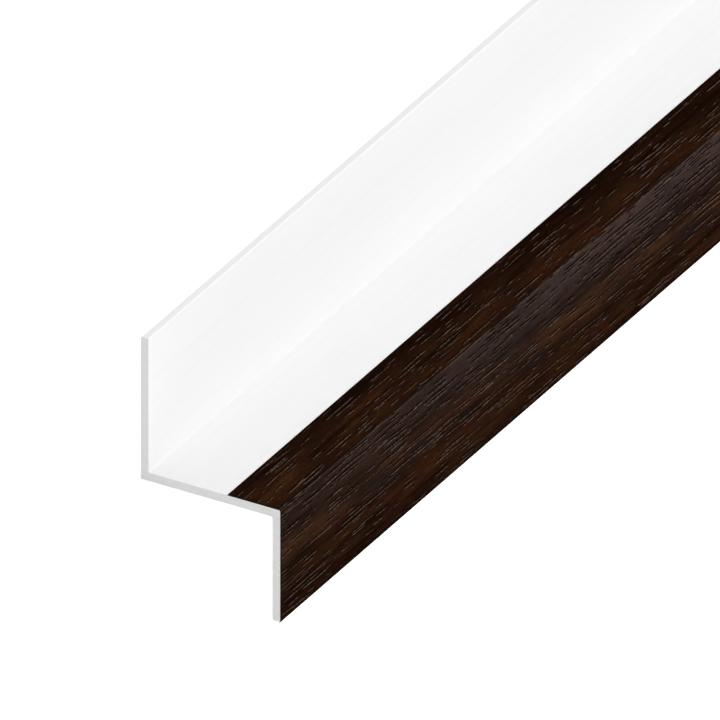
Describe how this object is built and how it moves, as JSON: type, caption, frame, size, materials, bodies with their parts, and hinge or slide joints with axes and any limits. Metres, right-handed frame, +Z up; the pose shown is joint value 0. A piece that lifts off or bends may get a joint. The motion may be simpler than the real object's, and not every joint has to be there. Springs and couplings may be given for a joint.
{
  "type": "cladding drip trim",
  "caption": "Z-section uPVC cladding drip trim bar: upstand, ledge and drop leg, its front laminated with dark rosewood woodgrain foil.",
  "frame": {"origin": "on the floor, under the middle of the bar's length and width as it lies", "axes": "+Y along the bar, +X across it from the wall side to the front, +Z up. The bar lies unheld, turned 38.06 degrees about its length from its fitted position, on the heel under the upstand and the back corner of the drop leg's tip"},
  "size_m": [0.0748, 2.5, 0.0332],
  "materials": {
    "white_upvc": "smooth white extruded uPVC, satin gloss, sawn at both ends",
    "rosewood_foil": "dark rosewood woodgrain laminate with embossed pores, low sheen"
  },
  "bodies": {
    "root": {"z_profile": "white_upvc", "woodgrain_foil": "rosewood_foil"}
  },
  "joints": []
}
